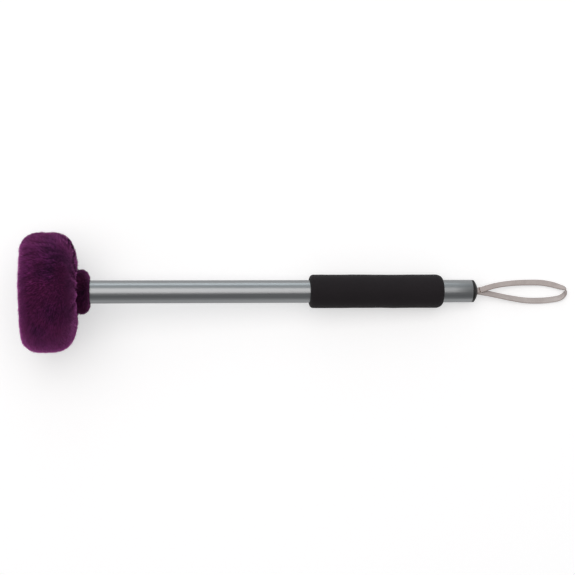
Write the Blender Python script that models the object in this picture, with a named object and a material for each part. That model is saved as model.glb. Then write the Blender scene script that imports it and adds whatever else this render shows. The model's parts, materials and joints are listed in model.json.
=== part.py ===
"""Gong mallet lying on a flat surface: soft fleece head, aluminium shaft, foam grip, wrist strap.

Metres, +Z up. The surface is z = 0, the head points to -X and the strap to +X.
The mallet rests on the rim of its head and on the rear edge of its grip, so the shaft is tilted.
Turned pieces are drawn in the mallet's own frame: "along" runs down the shaft from the head's
front face, and "out" is the distance from the shaft's axis.
"""

import bmesh
import bpy
from math import asin, cos, degrees, pi, radians, sin, sqrt
from mathutils import Matrix, Vector

GAP = 0.0003                     # clearance between neighbouring pieces

# Segments round the axis: pieces that show, pieces inside, and small ones
ROUND = 48
PLAIN = 32
SMALL = 24
SHARP_FROM = 35                  # edges that turn by more than this many degrees are drawn sharp

# Shaft tube, seven eighths of an inch across
TUBE_R = 0.0111
TUBE_WALL = 0.0016
TUBE_BORE_R = TUBE_R - TUBE_WALL
TUBE_START = 0.0283
TUBE_END = 0.4371
BORE_R = TUBE_R + GAP            # bore of everything that is slid over the tube

# Soft head
HEAD_R = 0.0575
FRONT_BULGE = 0.0008             # the front face is slightly crowned
FACE_SHARES = (0, 0.35, 0.7)     # rings of points on it, as shares of the way out to its rim
FRONT_CORNER_R = 0.018
REAR_CORNER_R = 0.024
REAR_CORNER_ALONG = 0.0267       # where the rim ends and the rear shoulder begins
REAR_LEAN = 0.0015               # the rear face leans back towards the neck
HEAD_LENGTH = REAR_CORNER_ALONG + REAR_CORNER_R + REAR_LEAN
COVER_THICK = 0.0045             # backing and pile together
PLEATS = 12
PLEAT_DEPTH = 0.0011
PLEAT_FROM = 0.016               # the pleats lie between these distances from the axis
PLEAT_TO = 0.048
PLEAT_PEAK = 0.31                # share of the way out from the neck where they are deepest
PLEAT_UNEVEN = 0.4               # how much slower waves, this many round the head, vary them
PLEAT_SLOW_WAVES = 5

# Neck of the cover, its cord and the collar over them
NECK_R = 0.0140
NECK_END = 0.0630
# From the rear shoulder in to the neck: distance past the head's rear, and out
NECK_FALL = [(-0.0002, 0.0270), (-0.0004, 0.0210), (-0.0010, 0.0175), (0.0004, NECK_R)]
CORD_R = 0.0013
CORD_ALONG = 0.0575
COLLAR_R = 0.0217
COLLAR_START = 0.0529
COLLAR_END = 0.0640
COLLAR_CORNER_R = 0.0038

# Core of the head
CORE_R = 0.030
CORE_START = 0.012
CORE_END = 0.040
CORE_STEP = 0.028                # the tube butts against the core here
FELT_R = 0.038
RECESS_R = 0.026
RECESS_END = 0.0217
POCKET_END = 0.032
BOSS_R = 0.0145
BOLT_R = 0.0040
BOLT_HEAD_R = 0.0070
BOLT_HEAD_START = 0.0126
BOLT_HEAD_END = 0.0167
BOLT_HEAD_EDGE = 0.0008          # straight edge under the head's crown
BOLT_END = 0.052
BOLT_TIP = 0.001                 # bevel at the far end
SOCKET_R = 0.0029
SOCKET_DEEP = 0.0025
LOCK_WASHER_R = 0.0074
LOCK_WASHER = (0.0170, 0.0187)
LOCK_WASHER_SPLIT = 0.0012
CLAMP_WASHER = (0.0190, 0.0214)

# Plug inside the tube's head end
PLUG_END = 0.068
INSERT_R = 0.0060
INSERT_END = 0.0440
PIN_R = 0.0020
PIN_ALONG = 0.0595
PIN_HALF = 0.0107

# Foam grip
GRIP_R = 0.0164
GRIP_START = 0.2760
GRIP_END = 0.4078
GRIP_FRONT_ROUND = 0.0034
GRIP_REAR_ROUND = 0.0070
GRIP_LIP = 0.0006                # flat left on each end face beside the tube

# End cap
CAP_START = TUBE_END + GAP
CAP_RIM = 0.0019
CAP_R = 0.0110
CAP_DOME_R = 0.0170
CAP_DOME_EDGE_R = 0.0106         # the dome meets the rim's rounded edge here
CAP_APEX = 0.4433
CAP_HOLE_R = 0.0045
CAP_SHANK_R = TUBE_BORE_R - GAP
CAP_SHANK_START = 0.4210
CHAMBER_R = 0.0075
CHAMBER_END = 0.4355
STRAP_WASHER = (0.4337, 0.4352)
KNOT_R = 0.0064
KNOT_ALONG = 0.4275
KNOT_HALF = 0.0056
KNOT_LUMPS = 0.07                # how far the turns of the strap stand out, as a share of the radius
KNOT_TWIST = 2.2

# Strap: one band of leather folded into a loop, its two legs one on the other at the cap
STRAP_WIDE = 0.0058
STRAP_THICK = 0.0012
STRAP_EDGE = 0.0003
LEG_SHIFT = 0.0005               # each leg lies this far to its own side
LEG_LIFT = 0.00065               # and this far above or below the middle
LEG_ROLL = 20                    # and both are rolled over by this many degrees
STUB_END = 0.4430
TONGUE_R = 0.0042
TONGUE_THICK = 0.0030
TONGUE_LONG = 0.0030
PIVOT_ALONG = STUB_END + GAP + TONGUE_R
STEPS_PER_SPAN = 3

# Route of the strap: distance past the pivot, distance to the left, height above the surface,
# and how far the band is rolled over from lying flat (90 stands on edge, 180 is flat again)
STRAP_ROUTE = [
    (0.0002, 0.0012, 0.0114, 22),
    (0.0030, 0.0021, 0.0111, 26),
    (0.0070, 0.0034, 0.0105, 30),
    (0.0170, 0.0058, 0.0085, 34),
    (0.0317, 0.0077, 0.0058, 30),
    (0.0464, 0.0083, 0.0038, 22),
    (0.0610, 0.0081, 0.0025, 18),
    (0.0719, 0.0063, 0.0023, 20),
    (0.0796, 0.0040, 0.0027, 36),
    (0.0842, 0.0026, 0.0031, 56),
    (0.0855, 0.0008, 0.0033, 74),
    (0.0853, -0.0012, 0.0033, 104),
    (0.0838, -0.0040, 0.0029, 126),
    (0.0796, -0.0071, 0.0021, 150),
    (0.0719, -0.0087, 0.0016, 166),
    (0.0610, -0.0097, 0.0016, 168),
    (0.0464, -0.0095, 0.0026, 160),
    (0.0317, -0.0074, 0.0046, 152),
    (0.0170, -0.0045, 0.0074, 148),
    (0.0070, -0.0024, 0.0091, 152),
    (0.0030, -0.0017, 0.0097, 156),
    (0.0002, -0.0011, 0.0101, 160),
]

# How far the soft pieces are pressed flat where they lie on the surface
HEAD_FLAT = 0.0010
GRIP_FLAT = 0.0005
TABLE = ((-0.4, -0.1, -0.05), (0.4, 0.1, 0.0))    # low and high corners of the block that cuts them


def clear_scene():
    for item in list(bpy.data.objects):
        bpy.data.objects.remove(item, do_unlink=True)


def make_material(name, colour, roughness, metallic=0.0):
    material = bpy.data.materials.new(name)
    material.use_nodes = True
    shader = material.node_tree.nodes["Principled BSDF"]
    shader.inputs["Base Color"].default_value = (*colour, 1.0)
    shader.inputs["Roughness"].default_value = roughness
    shader.inputs["Metallic"].default_value = metallic
    return material


def arc(centre, radii, start, end, steps):
    """Points on an ellipse from angle start to angle end, in degrees, along and out."""
    points = []
    for step in range(steps + 1):
        angle = radians(start + (end - start) * step / steps)
        points.append((centre[0] + radii[0] * cos(angle), centre[1] + radii[1] * sin(angle)))
    return points


def add_object(name, mesh, material, parent=None):
    mesh.shade_smooth()
    mesh.set_sharp_from_angle(angle=radians(SHARP_FROM))
    mesh.materials.append(material)
    thing = bpy.data.objects.new(name, mesh)
    bpy.context.collection.objects.link(thing)
    thing.parent = parent
    return thing


def mesh_from(bm, name):
    bmesh.ops.recalc_face_normals(bm, faces=bm.faces)
    mesh = bpy.data.meshes.new(name)
    bm.to_mesh(mesh)
    bm.free()
    return mesh


def turned_mesh(name, profile, segments, ring=False, shape=None):
    """Turns a profile of (along, out) points round the local X axis.

    A profile that isn't a ring starts and ends on the axis. shape, if given, moves each point
    as a function of its place along, its distance out and its angle.
    """
    bm = bmesh.new()
    rows = []
    for along, out in profile:
        row = []
        for segment in range(segments if out > 0 else 1):
            angle = 2 * pi * segment / segments
            here = shape(along, out, angle) if shape else (along, out)
            row.append(bm.verts.new((here[0], here[1] * cos(angle), here[1] * sin(angle))))
        rows.append(row)
    pairs = list(zip(rows, rows[1:]))
    if ring:
        pairs.append((rows[-1], rows[0]))
    for first, second in pairs:
        for segment in range(segments):
            after = (segment + 1) % segments
            if len(first) == 1:
                bm.faces.new((first[0], second[segment], second[after]))
            elif len(second) == 1:
                bm.faces.new((first[segment], second[0], first[after]))
            else:
                bm.faces.new((first[segment], second[segment], second[after], first[after]))
    return mesh_from(bm, name)


def turned(name, profile, material, parent, segments=ROUND, ring=False, shape=None):
    return add_object(name, turned_mesh(name, profile, segments, ring, shape), material, parent)


def ring_profile(inner, outer, start, end):
    return [(start, inner), (start, outer), (end, outer), (end, inner)]


def combine(target, other, operation):
    """Cuts a helper from a piece or fuses it to the piece. The helper itself isn't a piece."""
    other.hide_render = True
    other.display_type = "WIRE"
    modifier = target.modifiers.new(other.name, "BOOLEAN")
    modifier.operation = operation
    modifier.solver = "EXACT"
    modifier.object = other


def cylinder(name, radius, half, material, parent, sides=SMALL):
    profile = [(-half, 0), (-half, radius), (half, radius), (half, 0)]
    return turned(name, profile, material, parent, segments=sides)


def block_mesh(name, low, high):
    bm = bmesh.new()
    bmesh.ops.create_cube(bm, size=1.0)
    size = [high[axis] - low[axis] for axis in range(3)]
    middle = [(high[axis] + low[axis]) / 2 for axis in range(3)]
    bmesh.ops.transform(bm, matrix=Matrix.Translation(middle) @ Matrix.Diagonal((*size, 1)), verts=bm.verts)
    return mesh_from(bm, name)


def head_outline(inset, steps):
    """Front face, rim and rear shoulder of the head, at a depth of inset below the surface."""
    front = FRONT_BULGE + FRONT_CORNER_R
    corner = FRONT_CORNER_R - inset
    rear_corner = REAR_CORNER_R - inset
    front_face = [(inset + FRONT_BULGE * share ** 2, (HEAD_R - FRONT_CORNER_R) * share)
                  for share in FACE_SHARES]
    return (
        front_face
        + arc((front, HEAD_R - FRONT_CORNER_R), (corner, corner), 180, 90, steps)
        + arc((REAR_CORNER_ALONG, HEAD_R - REAR_CORNER_R), (rear_corner, rear_corner), 90, 0, steps + 1)
    )


def grip_outline():
    rise = GRIP_R - BORE_R - GRIP_LIP
    base = GRIP_R - rise
    return (
        [(GRIP_START, BORE_R)]
        + arc((GRIP_START + GRIP_FRONT_ROUND, base), (GRIP_FRONT_ROUND, rise), 180, 90, 5)
        + arc((GRIP_END - GRIP_REAR_ROUND, base), (GRIP_REAR_ROUND, rise), 90, 0, 6)
        + [(GRIP_END, BORE_R)]
    )


def lowest_reach(outline, tilt):
    return max(along * sin(tilt) + out * cos(tilt) for along, out in outline)


def rest_on_surface():
    """The tilt and the axis height at which both head and grip are pressed flat by their amounts."""
    head = head_outline(0.0, 40)
    grip = grip_outline()
    low, high = 0.0, 0.3
    for _ in range(50):
        tilt = (low + high) / 2
        head_height = lowest_reach(head, tilt) - HEAD_FLAT
        grip_height = lowest_reach(grip, tilt) - GRIP_FLAT
        if head_height > grip_height:
            low = tilt
        else:
            high = tilt
    return tilt, head_height


def half_way(tilt):
    """Half way, along the surface, between the far ends of the head and of the cap."""
    head_end = min(along * cos(tilt) - out * sin(tilt) for along, out in head_outline(0.0, 6))
    cap_end = max(along * cos(tilt) + out * sin(tilt) for along, out in cap_outline())
    return (head_end + cap_end) / 2


def pleated(along, out, angle):
    """Gathers in the cover's outer surface behind the head, deepest near the neck."""
    past_corner = max(0.0, out - (HEAD_R - REAR_CORNER_R))
    depth = REAR_CORNER_R - sqrt(max(0.0, along - REAR_CORNER_ALONG) ** 2 + past_corner ** 2)
    if depth > COVER_THICK / 2 or out < PLEAT_FROM or out > PLEAT_TO:
        return along, out
    rise = (out - NECK_R) / (PLEAT_TO - NECK_R)
    if rise < PLEAT_PEAK:
        strength = sin(pi / 2 * rise / PLEAT_PEAK)
    else:
        strength = (1 - rise) / (1 - PLEAT_PEAK)
    wave = cos(PLEATS * angle) + PLEAT_UNEVEN * cos(PLEAT_SLOW_WAVES * angle + 1)
    return along - PLEAT_DEPTH * strength * (1 - wave) / 2, out


def make_cover(material, parent):
    outside = head_outline(0.0, 6)
    neck = [(HEAD_LENGTH + past, out) for past, out in NECK_FALL]
    neck += [(NECK_END, NECK_R), (NECK_END, BORE_R)]
    inside = list(reversed(head_outline(COVER_THICK, 5)))
    inner_neck = [(inside[0][0], BORE_R)]
    return turned("fleece_cover", outside + neck + inner_neck + inside, material, parent,
                  shape=pleated)


def make_collar(material, parent):
    corner = COLLAR_CORNER_R
    groove = CORD_R + GAP
    seat = NECK_R + GAP
    profile = (
        [(COLLAR_START, seat)]
        + arc((COLLAR_START + corner, COLLAR_R - corner), (corner, corner), 180, 90, 3)
        + arc((COLLAR_END - corner, COLLAR_R - corner), (corner, corner), 90, 0, 3)
        + [(COLLAR_END, BORE_R), (NECK_END + GAP, BORE_R), (NECK_END + GAP, seat)]
        + [(CORD_ALONG + groove, seat), (CORD_ALONG + groove, seat + 2 * groove)]
        + [(CORD_ALONG - groove, seat + 2 * groove), (CORD_ALONG - groove, seat)]
    )
    return turned("neck_collar", profile, material, parent, ring=True)


def make_padding(foam, felt, parent):
    step = COVER_THICK + GAP
    around = [point for point in head_outline(step, 5) if point[1] > FELT_R + GAP]
    front_face = FRONT_BULGE + step
    start = (front_face, FELT_R + GAP)
    rear_reach = REAR_CORNER_R - step
    sink = FELT_R + GAP - (HEAD_R - REAR_CORNER_R)
    end = (REAR_CORNER_ALONG + sqrt(rear_reach ** 2 - sink ** 2), FELT_R + GAP)
    turned("padding_ring", [start] + around + [end], foam, parent, segments=PLAIN, ring=True)
    turned("felt_band", ring_profile(CORE_R + GAP, FELT_R, CORE_START, CORE_END), felt, parent,
           segments=PLAIN, ring=True)
    pad_end = CORE_START - GAP
    turned("front_pad", [(front_face, 0), (front_face, FELT_R), (pad_end, FELT_R), (pad_end, 0)],
           foam, parent, segments=PLAIN)
    rear_start = CORE_END + GAP
    rear_end = REAR_CORNER_ALONG + rear_reach
    turned("rear_pad", [(rear_start, BORE_R), (rear_start, FELT_R), (end[0], FELT_R),
                        (rear_end, HEAD_R - REAR_CORNER_R), (rear_end, BORE_R)],
           foam, parent, segments=PLAIN, ring=True)


def make_core(wood, steel, parent):
    profile = [
        (CORE_START, RECESS_R),
        (CORE_START, CORE_R),
        (CORE_END, CORE_R),
        (CORE_END, BORE_R),
        (CORE_STEP, BORE_R),
        (CORE_STEP, BOLT_R + GAP),
        (RECESS_END, BOLT_R + GAP),
        (RECESS_END, BOSS_R),
        (POCKET_END, BOSS_R),
        (POCKET_END, RECESS_R),
    ]
    turned("head_core", profile, wood, parent, segments=PLAIN, ring=True)
    ring = ring_profile(BOSS_R + GAP, RECESS_R - GAP, RECESS_END + GAP, POCKET_END - GAP)
    turned("weight_ring", ring, steel, parent, segments=PLAIN, ring=True)


def make_bolt(steel, parent):
    hole = BOLT_R + GAP
    turned("clamp_washer", ring_profile(hole, RECESS_R - GAP, *CLAMP_WASHER), steel, parent,
           segments=PLAIN, ring=True)
    lock = turned("lock_washer", ring_profile(hole, LOCK_WASHER_R, *LOCK_WASHER), steel, parent,
                  segments=PLAIN, ring=True)
    split_low = (0.0, 0.0, -LOCK_WASHER_SPLIT / 2)
    split_high = (2 * BOLT_HEAD_END, 2 * LOCK_WASHER_R, LOCK_WASHER_SPLIT / 2)
    split = add_object("washer_split", block_mesh("washer_split", split_low, split_high), steel, parent)
    combine(lock, split, "DIFFERENCE")
    crown_end = BOLT_HEAD_END - BOLT_HEAD_EDGE
    crown = arc((crown_end, 0.0), (crown_end - BOLT_HEAD_START, BOLT_HEAD_R), 180, 90, 5)
    shank = [(BOLT_HEAD_END, BOLT_HEAD_R), (BOLT_HEAD_END, BOLT_R), (BOLT_END - BOLT_TIP, BOLT_R),
             (BOLT_END, BOLT_R - BOLT_TIP), (BOLT_END, 0)]
    crown[0] = (BOLT_HEAD_START, 0)
    bolt = turned("head_bolt", crown + shank, steel, parent, segments=SMALL)
    socket = cylinder("hex_socket", SOCKET_R, SOCKET_DEEP, steel, parent, sides=6)
    socket.location.x = BOLT_HEAD_START
    combine(bolt, socket, "DIFFERENCE")


def make_plug(wood, brass, steel, tube, parent):
    start = TUBE_START
    plug_r = TUBE_BORE_R - GAP
    bolt_hole = BOLT_R + GAP
    insert_hole = INSERT_R + GAP
    profile = [
        (start, insert_hole), (start, plug_r), (PLUG_END, plug_r), (PLUG_END, bolt_hole),
        (INSERT_END + GAP, bolt_hole), (INSERT_END + GAP, insert_hole),
    ]
    plug = turned("shaft_plug", profile, wood, parent, segments=PLAIN, ring=True)
    turned("threaded_insert", ring_profile(bolt_hole, INSERT_R, start, INSERT_END), brass, parent,
           segments=SMALL, ring=True)
    pin = cylinder("cross_pin", PIN_R, PIN_HALF, steel, parent)
    hole = cylinder("pin_hole", PIN_R + GAP, 2 * PIN_HALF, steel, parent)
    for piece in (pin, hole):
        piece.location.x = PIN_ALONG
        piece.rotation_euler.z = pi / 2
    for piece in (plug, tube):
        combine(piece, hole, "DIFFERENCE")


def cap_outline():
    """The part of the cap that shows, from its rim over the dome to the edge of its hole."""
    edge = degrees(asin(CAP_DOME_EDGE_R / CAP_DOME_R))
    hole = degrees(asin(CAP_HOLE_R / CAP_DOME_R))
    dome = arc((CAP_APEX - CAP_DOME_R, 0), (CAP_DOME_R, CAP_DOME_R), edge, hole, 5)
    return [(CAP_START, CAP_R), (CAP_START + CAP_RIM, CAP_R)] + dome


def make_cap(rubber, steel, parent):
    shank = [(CAP_SHANK_START, CHAMBER_R), (CAP_SHANK_START, CAP_SHANK_R), (CAP_START, CAP_SHANK_R)]
    bore = [(CHAMBER_END, CAP_HOLE_R), (CHAMBER_END, CHAMBER_R)]
    turned("end_cap", shank + cap_outline() + bore, rubber, parent, ring=True)
    turned("strap_washer", ring_profile(CAP_HOLE_R, CHAMBER_R - GAP, *STRAP_WASHER), steel, parent,
           segments=PLAIN, ring=True)


def knotted(along, out, angle):
    """A lumpy, twisted surface like that of an overhand knot."""
    turn = 2 * angle + KNOT_TWIST * (along - KNOT_ALONG) / KNOT_HALF
    return along, out * (1 - KNOT_LUMPS + KNOT_LUMPS * cos(turn))


def make_knot(leather, parent):
    outline = arc((KNOT_ALONG, 0), (KNOT_HALF, KNOT_R), 180, 0, 9)
    outline[0] = (KNOT_ALONG - KNOT_HALF, 0)
    outline[-1] = (KNOT_ALONG + KNOT_HALF, 0)
    knot = turned("strap_knot", outline, leather, parent, segments=PLAIN, shape=knotted)
    low = (KNOT_ALONG, -STRAP_WIDE / 2, -STRAP_THICK / 2)
    high = (STUB_END, STRAP_WIDE / 2, STRAP_THICK / 2)
    for name, side in (("upper_leg", 1), ("lower_leg", -1)):
        leg = add_object(name, block_mesh(name, low, high), leather, parent)
        leg.location = (0, side * LEG_SHIFT, side * LEG_LIFT)
        leg.rotation_euler.x = -radians(LEG_ROLL)
        combine(knot, leg, "UNION")


def smooth_route(points, steps):
    """Catmull-Rom curve through the points, each a tuple of any length."""
    ends = [points[0]] + points + [points[-1]]
    curve = []
    for index in range(1, len(ends) - 2):
        before, start, end, after = ends[index - 1:index + 3]
        for step in range(steps):
            t = step / steps
            curve.append([
                0.5 * (2 * b + (c - a) * t + (2 * a - 5 * b + 4 * c - d) * t * t
                       + (3 * b - a - 3 * c + d) * t ** 3)
                for a, b, c, d in zip(before, start, end, after)
            ])
    curve.append(list(points[-1]))
    return curve


def band_mesh(name, route):
    """Sweeps the strap's flat section along a route of (x, y, z, roll) stations."""
    half_wide = STRAP_WIDE / 2
    half_thick = STRAP_THICK / 2
    section = [
        (half_wide, half_thick - STRAP_EDGE), (half_wide - STRAP_EDGE, half_thick),
        (STRAP_EDGE - half_wide, half_thick), (-half_wide, half_thick - STRAP_EDGE),
        (-half_wide, STRAP_EDGE - half_thick), (STRAP_EDGE - half_wide, -half_thick),
        (half_wide - STRAP_EDGE, -half_thick), (half_wide, STRAP_EDGE - half_thick),
    ]
    bm = bmesh.new()
    rows = []
    for index, station in enumerate(route):
        ahead = Vector(route[min(index + 1, len(route) - 1)][:3])
        behind = Vector(route[max(index - 1, 0)][:3])
        tangent = (ahead - behind).normalized()
        outward = Vector((0, 0, 1)).cross(tangent).normalized()
        upward = tangent.cross(outward)
        roll = radians(station[3])
        face = upward * cos(roll) + outward * sin(roll)
        across = tangent.cross(face)
        centre = Vector(station[:3])
        rows.append([bm.verts.new(centre + across * wide + face * thick) for wide, thick in section])
    for first, second in zip(rows, rows[1:]):
        for corner in range(len(section)):
            after = (corner + 1) % len(section)
            bm.faces.new((first[corner], second[corner], second[after], first[after]))
    bm.faces.new(rows[0])
    bm.faces.new(rows[-1])
    return mesh_from(bm, name)


def tongue_mesh(name):
    """The sewn root of the loop, round where it turns on the pivot."""
    outline = arc((0, 0), (TONGUE_R, TONGUE_R), 90, 270, 12)
    outline += [(TONGUE_LONG, -TONGUE_R), (TONGUE_LONG, TONGUE_R)]
    bm = bmesh.new()
    base = bm.faces.new([bm.verts.new((x, y, -TONGUE_THICK / 2)) for x, y in outline])
    raised = bmesh.ops.extrude_face_region(bm, geom=[base])
    moved = [item for item in raised["geom"] if isinstance(item, bmesh.types.BMVert)]
    bmesh.ops.translate(bm, vec=(0, 0, TONGUE_THICK), verts=moved)
    return mesh_from(bm, name)


def make_loop(leather, pivot, tilt):
    local = [(past, left, height - pivot.z, roll) for past, left, height, roll in STRAP_ROUTE]
    loop = add_object("wrist_loop", band_mesh("wrist_loop", smooth_route(local, STEPS_PER_SPAN)), leather)
    loop.location = pivot
    tongue = add_object("loop_root", tongue_mesh("loop_root"), leather)
    tongue.location = pivot
    tongue.rotation_euler.y = tilt
    combine(loop, tongue, "UNION")


def flatten_on_surface(pieces, material):
    """Cuts the soft pieces off level with the surface, where their weight presses them flat."""
    table = add_object("table", block_mesh("table", *TABLE), material)
    for piece in pieces:
        combine(piece, table, "DIFFERENCE")


def build():
    clear_scene()
    fleece = make_material("purple_fleece", (0.060, 0.010, 0.062), 0.95)
    dark_fleece = make_material("dark_fleece", (0.030, 0.005, 0.028), 0.95)
    aluminium = make_material("satin_aluminium", (0.50, 0.53, 0.55), 0.35, 1.0)
    steel = make_material("steel", (0.55, 0.55, 0.57), 0.35, 1.0)
    brass = make_material("brass", (0.75, 0.55, 0.25), 0.35, 1.0)
    foam = make_material("black_foam", (0.020, 0.018, 0.019), 0.85)
    rubber = make_material("black_rubber", (0.015, 0.014, 0.015), 0.5)
    wood = make_material("beech", (0.55, 0.36, 0.20), 0.6)
    felt = make_material("grey_felt", (0.45, 0.43, 0.40), 0.95)
    batting = make_material("white_batting", (0.75, 0.74, 0.70), 0.95)
    leather = make_material("pale_leather", (0.42, 0.36, 0.34), 0.7)
    cord = make_material("waxed_cord", (0.60, 0.55, 0.45), 0.7)

    tilt, height = rest_on_surface()
    middle = half_way(tilt)
    frame = bpy.data.objects.new("mallet_axis", None)
    bpy.context.collection.objects.link(frame)
    frame.location = (-middle, 0, height)
    frame.rotation_euler.y = tilt

    tube = turned("shaft_tube", ring_profile(TUBE_BORE_R, TUBE_R, TUBE_START, TUBE_END), aluminium, frame,
                  ring=True)
    make_plug(wood, brass, steel, tube, frame)
    make_core(wood, steel, frame)
    make_bolt(steel, frame)
    make_padding(batting, felt, frame)
    cover = make_cover(fleece, frame)
    turned("neck_cord", arc((CORD_ALONG, NECK_R + GAP + CORD_R), (CORD_R, CORD_R), 0, 315, 7), cord, frame,
           segments=PLAIN, ring=True)
    make_collar(dark_fleece, frame)
    grip = turned("foam_grip", grip_outline(), foam, frame, ring=True)
    make_cap(rubber, steel, frame)
    make_knot(leather, frame)
    pivot = Vector((-middle + PIVOT_ALONG * cos(tilt), 0, height - PIVOT_ALONG * sin(tilt)))
    make_loop(leather, pivot, tilt)
    flatten_on_surface((cover, grip), aluminium)


build()
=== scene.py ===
"""Gong mallet lying on a pale floor: the looks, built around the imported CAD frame.

Metres, +Z up. Turned pieces are drawn in the mallet's own frame: "along" runs down the shaft from
the head's front face, "out" is the distance from the shaft's axis, and the angle round the axis is
0 at +Y and 90 degrees on top.
"""

import json
from math import asin, cos, degrees, pi, radians, sin, sqrt

import bmesh
import bpy
import numpy as np
from mathutils import Matrix, Vector
from mathutils.kdtree import KDTree


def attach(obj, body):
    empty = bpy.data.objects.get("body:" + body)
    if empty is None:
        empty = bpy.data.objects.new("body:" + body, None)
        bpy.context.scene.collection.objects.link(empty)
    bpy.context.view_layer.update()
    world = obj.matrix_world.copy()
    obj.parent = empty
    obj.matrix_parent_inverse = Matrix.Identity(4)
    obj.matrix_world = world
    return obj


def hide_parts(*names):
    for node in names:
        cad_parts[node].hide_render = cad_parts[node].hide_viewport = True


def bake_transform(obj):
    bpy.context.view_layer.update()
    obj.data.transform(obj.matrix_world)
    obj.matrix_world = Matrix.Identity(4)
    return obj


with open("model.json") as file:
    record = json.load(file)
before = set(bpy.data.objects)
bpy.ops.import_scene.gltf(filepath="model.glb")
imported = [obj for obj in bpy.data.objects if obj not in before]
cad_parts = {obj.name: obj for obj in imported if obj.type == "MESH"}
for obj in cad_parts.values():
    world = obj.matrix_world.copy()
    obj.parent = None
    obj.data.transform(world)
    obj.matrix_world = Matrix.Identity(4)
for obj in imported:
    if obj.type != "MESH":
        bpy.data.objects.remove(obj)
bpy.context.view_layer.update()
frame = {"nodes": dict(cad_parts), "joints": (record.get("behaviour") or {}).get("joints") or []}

GAP = 0.0003
SHARP_FROM = radians(40)  # an edge that turns by more stays sharp

# Shaft tube
TUBE_R = 0.0111
TUBE_BORE_R = 0.0095
TUBE_START = 0.0283
TUBE_END = 0.4371
TUBE_BEVEL = 0.0002
TUBE_SEGMENTS = 160
BORE_R = TUBE_R + GAP

# Head: the solid's outline, which the pieces inside it follow
HEAD_R = 0.0575
FRONT_BULGE = 0.0008
FRONT_CORNER_R = 0.018
REAR_CORNER_R = 0.024
REAR_CORNER_ALONG = 0.0267
COVER_THICK = 0.0045
OUTLINE_STEPS = (24, 30, 40)  # face, front corner, rear corner

# The cover as it really lies. Its skin is a pile's depth under this outline
PILE_DEEP = 0.0020
SOFT_R = 0.0571
SOFT_FRONT_ROUND = (0.0176, 0.0150)
SOFT_REAR_ROUND = (0.0208, 0.0273)
SOFT_REAR_ALONG = 0.0319
SOFT_LEAN = 0.048  # the top sags to the handle: metres for each metre up
SOFT_SHIFT = (-0.00110, -0.00025)
SHIFT_LEAST = 0.3  # share of both that the face's middle has
SHIFT_FULL_OUT = 0.012
NECK_R = 0.0140
SOFT_NECK_END = 0.0618  # inside the collar
NECK_FALL = [(-0.0001, 0.0260), (-0.0002, 0.0220), (-0.0004, 0.0190), (0, 0.0160),
             (0.0012, 0.0146), (0.0030, NECK_R)]  # past the rear corner's end, and out
SKIN_SPACING = 0.00085
HIDDEN_SPACING = 0.005
HEAD_SEGMENTS = 400
EASE_ROWS = 6  # the skin's bumps end over these rows
HEAD_PRESS_SOFT = 0.0004  # how softly it bends where the floor presses it flat

# Its bumps. Layers of noise are a cell, a height and a seed
LUMPS = [(0.026, 0.00022, 3), (0.012, 0.00016, 4)]
NAP_HIGH = 0.00022
SKEW_HIGH, SKEW_OVER = 0.0009, 0.014  # the front's rim is fuller at +Y
BELT_HIGH = (0.0006, 0.0008)  # the stuffing's belt behind: all round, and more at -Y
BELT_BELOW, BELT_WIDE = 0.015, 0.010
SHOULDERS = [(6, 0.050, 0.0011), (180, 0.045, 0.0006)]  # degrees, out and height
SHOULDER_WIDE = (0.3, 0.006)  # round and out
BULGES_OVER = 0.010

# Gathers behind the head: degrees, depth in millimetres, reach from the axis in millimetres
CREASES = [
    (19, 4.6, 54), (45, 0.9, 44), (64, 1.8, 48), (84, 1.4, 44), (108, 2.0, 50), (134, 1.5, 46),
    (164, 3.3, 47), (188, 2.0, 45), (211, 1.8, 46), (236, 2.0, 49), (262, 1.4, 44), (287, 1.8, 48),
    (311, 1.6, 46), (338, 2.0, 48),
]
CREASES_OVER = 0.008
CREASE_NECK = (0.017, 0.005)  # they start this far out and are full after this much more
CREASE_FADE = 0.014
CREASE_WIDE = (0.0016, 0.03, 0.02)  # at the neck, then wider by this share past this far out
CREASE_LIPS = (0.35, 2.4)  # share of the depth, place in widths
CREASE_WANDER = (0.05, 0.05, 0.0075)  # radians, at this far out, and in what waves
CREASE_PHASE = 1.7  # from one gather's waves to the next's

# Pile
NAP_ANGLE = radians(50)  # the way the cloth's nap runs, as an angle on the front face
NAP_WAVER = (0.12, 0.017, 31)  # radians, cell, seed
NAP_STROKES = [(1.1, 0.0012, 0.0040, 7), (0.45, 0.0032, 0.0070, 8)]  # weight, cell, reach, seed
STROKES = (0.3, 2.6, 1.9)  # strength: all round, more at +Y, less again at its very edge
STROKES_EDGE = (0.90, 0.08)
GATHER_SHADE = (1.4, 0.0015)  # painted shade in the gathers: how dark, reached at this depth
BEHIND_SHADE = (0.45, 0.016)  # painted shade behind the head: how dark, reached over this length
RIM_SHADE = (0.8, 0.7)  # painted shade on the rim at +Y, painted light on the rim at -Y
RIM_FROM = (0.78, 0.18)  # the rim at +Y: cosine of the angle,
RIM_OUT = (0.040, 0.008)  # and out, each with what it takes to be full
BEHIND_DULL = (0.030, 0.012)  # from here on the pile is a duller copy, painted shade, fully after this much more
FAR_LESS = (0.5, 0.8)  # shares by which the painted shade and dullness behind are less at -Y
LIP_BRIGHT = (0.6, 0.0005)  # but less so on a gather's lips
SUNK_FROM = 0.0014  # pile sunk deeper than this in a gather is near black: painted shade
MOST_STRANDS = 17000  # in one piece
PILE_SEED = 20
HEAD_PILE = (34000, 0.0034)  # strands and their length
COLLAR_PILE = (5200, 0.0027)
MOST_TONE = 1.2
SWIRL = 0.14  # of single strands off the nap, in radians
LONG_SPREAD = (0.13, 0.09)  # by tone and at random
LEAN = (40, 9, 5)  # degrees: mean, at random and by tone
LEAN_BENDS = (0.55, 1.45)  # share of the lean in a strand's halves
TUFT_OF = 5
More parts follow.
